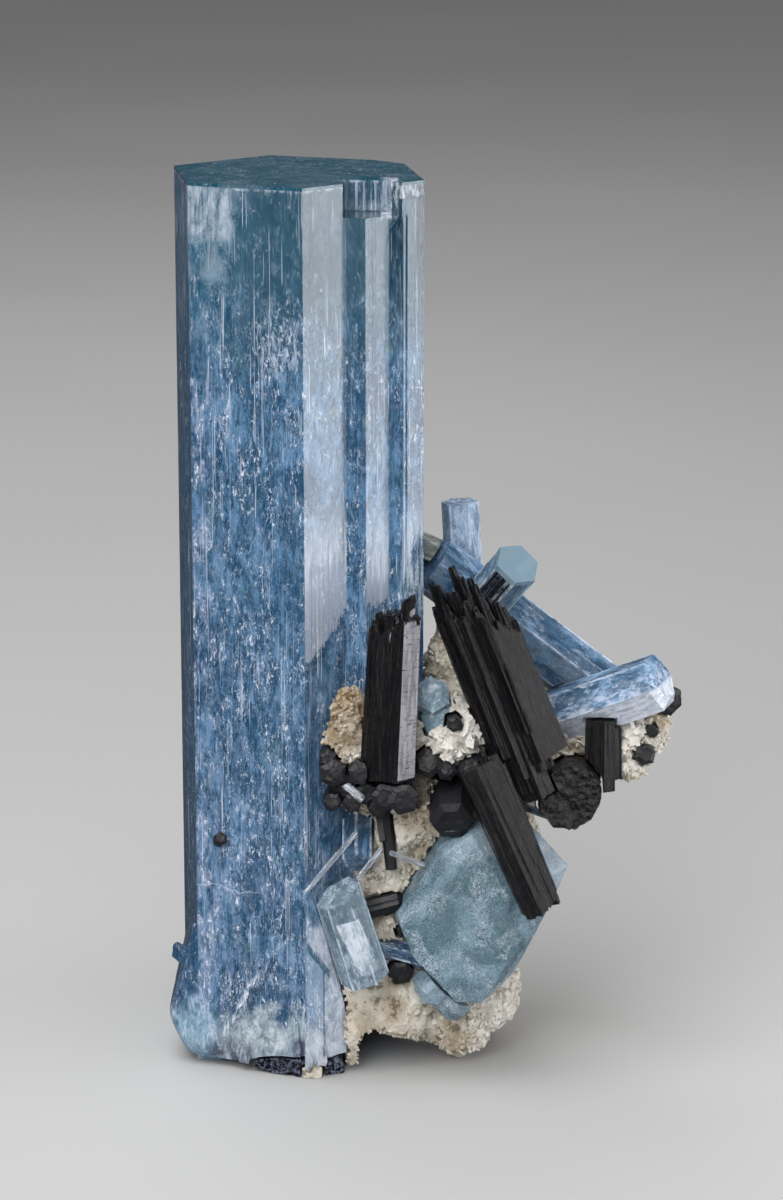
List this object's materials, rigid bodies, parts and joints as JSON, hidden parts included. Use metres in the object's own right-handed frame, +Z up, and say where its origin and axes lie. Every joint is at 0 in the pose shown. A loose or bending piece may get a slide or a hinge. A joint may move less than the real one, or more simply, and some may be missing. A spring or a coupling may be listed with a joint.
{
  "type": "aquamarine crystal on matrix",
  "caption": "Tall six-sided aquamarine crystal standing on its flat base, with smaller aquamarines, black schorl prisms, fluorite and feldspar matrix along its right foot.",
  "frame": {"origin": "where the axis of the main six-sided prism meets the plane of its flat base", "axes": "+Z up along the main crystal, -Y to the front, +X towards the matrix"},
  "size_m": [0.0624, 0.0373, 0.1074],
  "materials": {
    "aquamarine": "glassy, striated, pale to deep blue with milky flecks",
    "pale_beryl": "glassy, pale yellowish grey",
    "fluorite": "etched, frosted blue-green",
    "quartz": "clear and colourless",
    "schorl": "black, striated, glossy",
    "feldspar": "sugary cream with brown stains"
  },
  "bodies": {
    "root": {"main_aquamarine": "aquamarine", "fat_aquamarine": "aquamarine", "long_aquamarine": "aquamarine", "stub_aquamarine": "aquamarine", "upright_aquamarine": "aquamarine", "glassy_aquamarine": "aquamarine", "cross_aquamarine": "aquamarine", "dull_aquamarine": "aquamarine", "green_aquamarine": "aquamarine", "aquamarine_lumps": "aquamarine", "pale_beryl": "pale_beryl", "fluorite": "fluorite", "small_fluorite": "fluorite", "needle_left": "quartz", "needle_middle": "quartz", "needle_right": "quartz", "white_blade": "quartz", "schorl_prism_left": "schorl", "schorl_fan": "schorl", "schorl_rod": "schorl", "schorl_round": "schorl", "schorl_block": "schorl", "schorl_cluster_left": "schorl", "schorl_cluster_middle": "schorl", "schorl_blades": "schorl", "schorl_lower_bar": "schorl", "schorl_lower_bead": "schorl", "schorl_lower_stub": "schorl", "schorl_on_nub": "schorl", "schorl_right_end": "schorl", "schorl_right_bead": "schorl", "schorl_right_foot": "schorl", "schorl_speck": "schorl", "schorl_under_foot": "schorl", "feldspar_matrix": "feldspar", "feldspar_crumb": "feldspar"}
  },
  "joints": []
}
